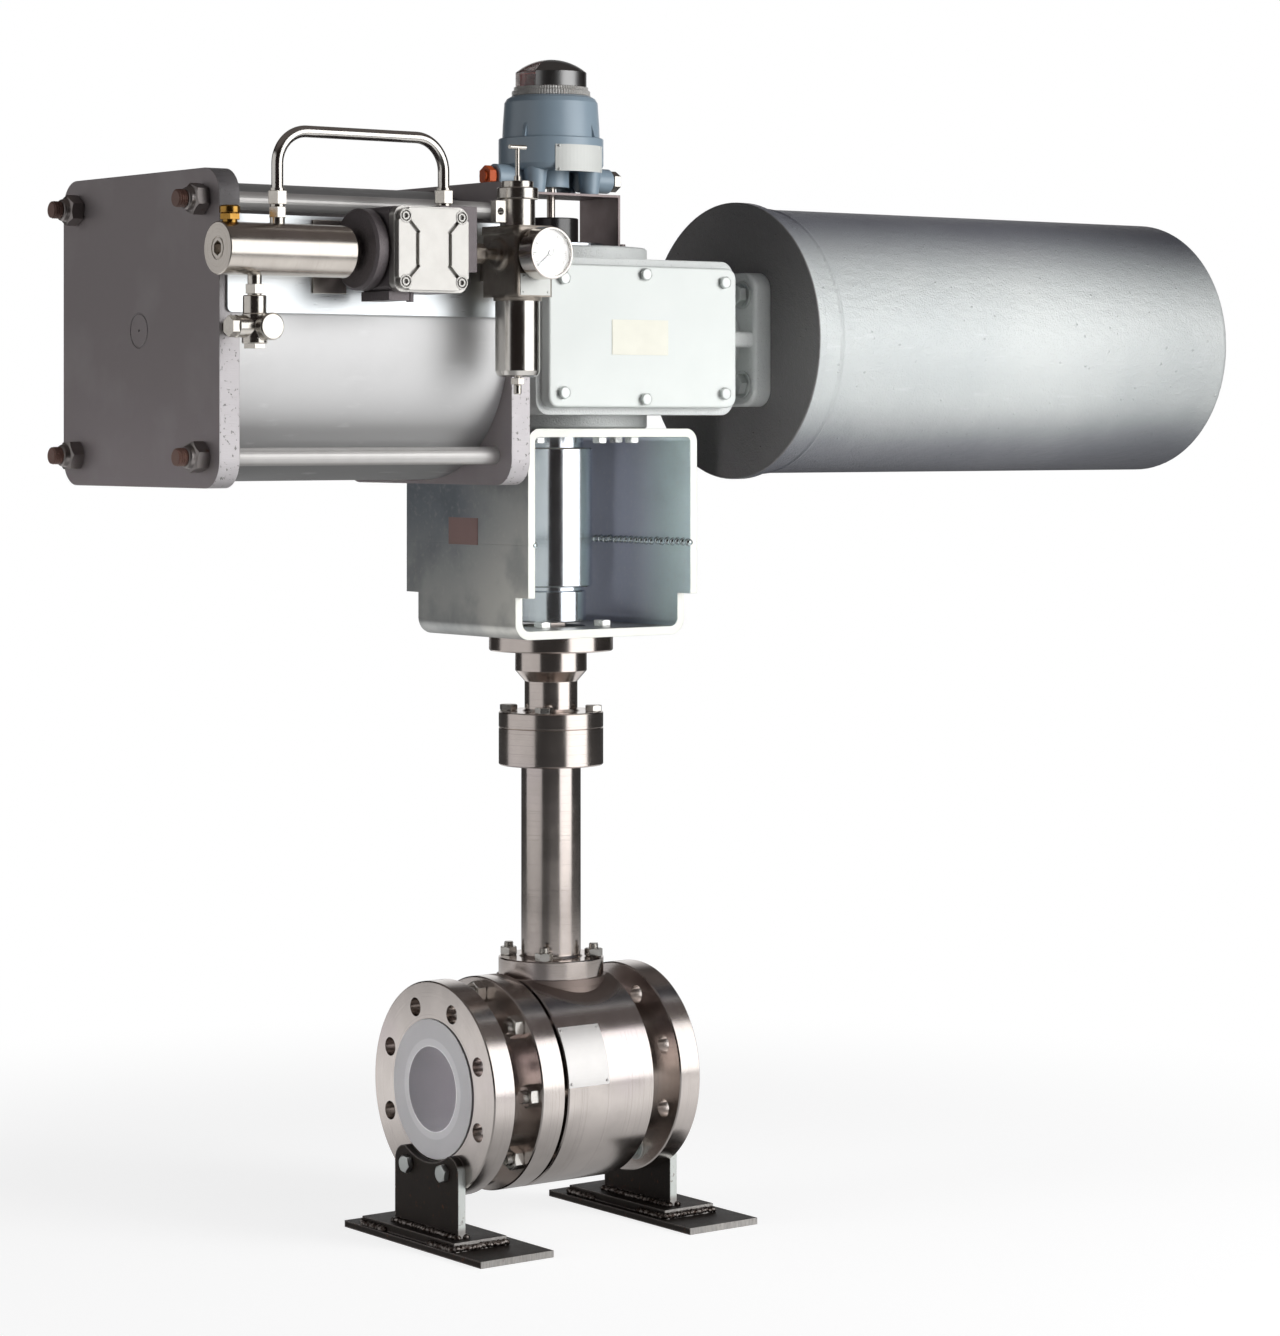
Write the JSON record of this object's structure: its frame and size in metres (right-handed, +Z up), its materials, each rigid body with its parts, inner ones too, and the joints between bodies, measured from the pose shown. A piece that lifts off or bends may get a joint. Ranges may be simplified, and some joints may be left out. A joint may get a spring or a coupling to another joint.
{
  "type": "floating ball valve",
  "caption": "Flanged floating ball valve on feet, with a tall bonnet, bracket, spring-return scotch-yoke air actuator, air controls and a domed position indicator.",
  "frame": {"origin": "centre of the inlet flange's raised face, on the bore's axis", "axes": "+X along the bore from inlet to outlet and along the actuator towards the spring can, +Z up the stem, -Y towards the air controls"},
  "size_m": [1.5623, 0.5155, 1.4103],
  "materials": {
    "machined_stainless": "machined",
    "ptfe": "matt white",
    "ball_face": "polished",
    "bright_fasteners": "bright",
    "gasket_graphite": "matt",
    "mill_scale": "dark mill scale with ground edges",
    "zinc_plate": "zinc plated",
    "coupling_steel": "polished",
    "head_plate": "dark warm grey plate",
    "silver_paint": "satin silver grey",
    "rod_steel": "ground",
    "cast_silver": "rough cast, painted light grey",
    "pale_cover": "satin",
    "grey_can": "rough grey paint",
    "bronze": "bronze",
    "nitrile": "matt",
    "spring_steel": "dark",
    "control_steel": "brushed",
    "nickel": "satin nickel",
    "silver_cover": "satin",
    "enclosure": "grey",
    "black_insert": "black",
    "dial_white": "white dial in a chrome rim",
    "clear_lens": "clear",
    "tube_steel": "satin",
    "brass_plug": "bright",
    "black_steel": "black",
    "bracket_brown": "dull",
    "blue_grey_enamel": "gloss blue grey enamel",
    "rotor_red": "black and red",
    "clear_dome": "tinted clear",
    "plug_orange": "orange"
  },
  "bodies": {
    "valve_frame": {"valve_body": "machined_stainless", "inlet_adapter": "machined_stainless", "body_gasket": "gasket_graphite", "body_studs": "bright_fasteners", "port_liners": "ptfe", "seat_rings": "ptfe", "stem_packing": "ptfe", "extension_bonnet": "machined_stainless", "bonnet_fasteners": "bright_fasteners", "top_adapter": "machined_stainless", "feet": "mill_scale", "foot_bolts": "bright_fasteners", "bracket_upper": "zinc_plate", "bracket_lower": "zinc_plate", "bracket_bolts": "bright_fasteners", "outer_head": "head_plate", "inner_head": "head_plate", "cylinder_tube": "silver_paint", "tie_rods": "rod_steel", "yoke_housing": "cast_silver", "housing_cover": "pale_cover", "cover_screws": "bright_fasteners", "flange_bolts": "bright_fasteners", "hub_cap": "coupling_steel", "bronze_bushes": "bronze", "spring_can": "grey_can", "return_spring": "spring_steel", "control_plate": "control_steel", "spool_valve": "nickel", "solenoid_housing": "enclosure", "solenoid_cover": "silver_cover", "regulator_body": "nickel", "regulator_bonnet": "nickel", "filter_bowl": "control_steel", "gauge_case": "dial_white", "gauge_lens": "clear_lens", "air_tube": "tube_steel", "tube_fittings": "nickel", "vent_plug": "brass_plug", "exhaust_valve": "nickel", "switch_bracket": "bracket_brown", "switch_base": "blue_grey_enamel", "switch_cover": "blue_grey_enamel", "indicator_dome": "clear_dome", "cable_plugs": "plug_orange"},
    "drive_train": {"ball": "ball_face", "stem": "rod_steel", "drive_coupling": "coupling_steel", "scotch_yoke": "cast_silver", "indicator_shaft": "black_steel", "indicator_rotor": "rotor_red"},
    "piston_set": {"piston": "pale_cover", "piston_seal": "nitrile", "piston_rod": "rod_steel", "guide_block": "rod_steel", "yoke_pin": "rod_steel", "spring_plate": "rod_steel"},
    "gauge_hand": {"gauge_pointer": "black_insert"},
    "regulator_knob": {"regulator_screw": "bright_fasteners"},
    "drain_knob": {"drain_valve": "nickel"}
  },
  "joints": [
    {"name": "stem_turn", "type": "hinge", "parent": "valve_frame", "child": "drive_train", "pos_m": [0.173, 0, 0], "axis": [0, 0, 1], "range_deg": [0, 90]},
    {"name": "piston_slide", "type": "slide", "parent": "valve_frame", "child": "piston_set", "axis": [1, 0, 0], "range_m": [0, 0.166], "stiffness_N_per_m": 3000, "springref_m": -0.2, "deforming": ["return_spring"]},
    {"name": "gauge_needle", "type": "hinge", "parent": "valve_frame", "child": "gauge_hand", "pos_m": [-0.092, -0.37, 0.973], "axis": [0, 1, 0], "range_deg": [0, 260]},
    {"name": "regulator_turn", "type": "hinge", "parent": "valve_frame", "child": "regulator_knob", "pos_m": [-0.092, -0.305, 1.06], "axis": [0, 0, 1], "range_deg": [-450, 450]},
    {"name": "drain_turn", "type": "hinge", "parent": "valve_frame", "child": "drain_knob", "pos_m": [-0.092, -0.305, 0.83], "axis": [0, 0, 1], "range_deg": [0, 270]}
  ],
  "couplings": [
    {"joint": "stem_turn", "follows": "piston_slide", "rad_per_m": 9.46}
  ]
}
